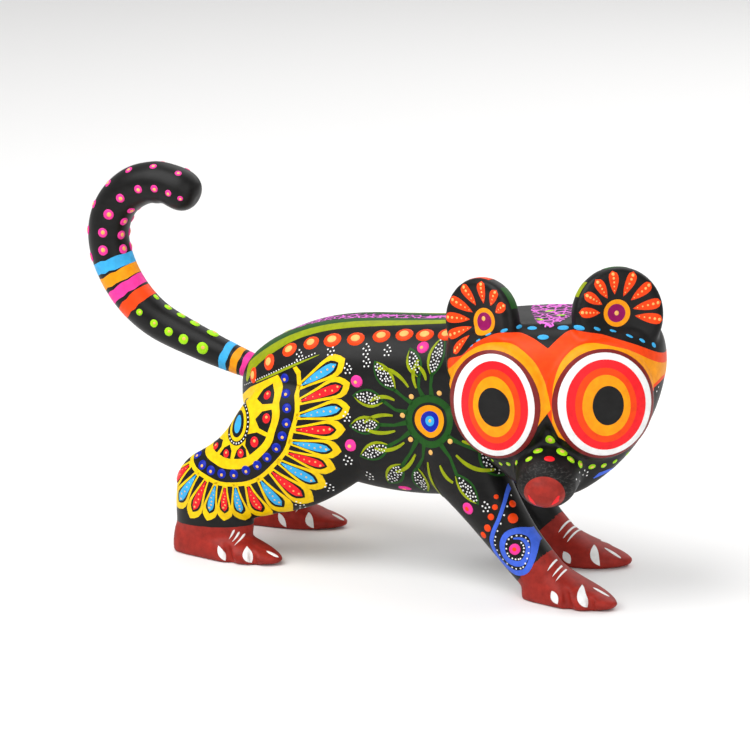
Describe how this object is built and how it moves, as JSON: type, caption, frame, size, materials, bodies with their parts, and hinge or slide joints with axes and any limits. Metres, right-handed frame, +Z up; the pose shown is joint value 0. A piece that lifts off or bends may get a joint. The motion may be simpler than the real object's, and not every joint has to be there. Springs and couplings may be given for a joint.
{
  "type": "carved wooden animal figure",
  "caption": "Hand-carved, brightly painted wooden animal figure on four paws, with big round eyes, round ears and a loose curled tail held by a peg.",
  "frame": {"origin": "on the ground, under the middle of the whole figure's bounding box", "axes": "+X from the tail towards the chest, +Y to the animal's left, +Z up; the face is turned to the animal's right, towards -Y"},
  "size_m": [0.223, 0.0868, 0.1322],
  "materials": {
    "acrylic_paint": "softwood carved, sealed and brushed with satin black acrylic, decorated in raised coloured acrylic dots and strokes",
    "bare_wood": "plain turned hardwood rod, unpainted"
  },
  "bodies": {
    "figure": {"torso": "acrylic_paint", "head": "acrylic_paint", "right_ear": "acrylic_paint", "left_ear": "acrylic_paint", "right_hind_leg": "acrylic_paint", "left_hind_leg": "acrylic_paint", "right_fore_leg": "acrylic_paint", "left_fore_leg": "acrylic_paint", "neck_dowel": "bare_wood", "right_ear_dowel": "bare_wood", "left_ear_dowel": "bare_wood", "right_hind_dowel": "bare_wood", "left_hind_dowel": "bare_wood", "right_fore_dowel": "bare_wood", "left_fore_dowel": "bare_wood"},
    "peg": {"tail_peg": "bare_wood"},
    "tail": {"tail": "acrylic_paint"}
  },
  "joints": [
    {"name": "tail_pull", "type": "slide", "parent": "figure", "child": "peg", "axis": [-0.9703, 0, 0.2419], "range_m": [0, 0.025]},
    {"name": "tail_turn", "type": "hinge", "parent": "peg", "child": "tail", "pos_m": [-0.04334, 0.00942, 0.0615], "axis": [-0.9703, 0, 0.2419], "continuous": true}
  ]
}
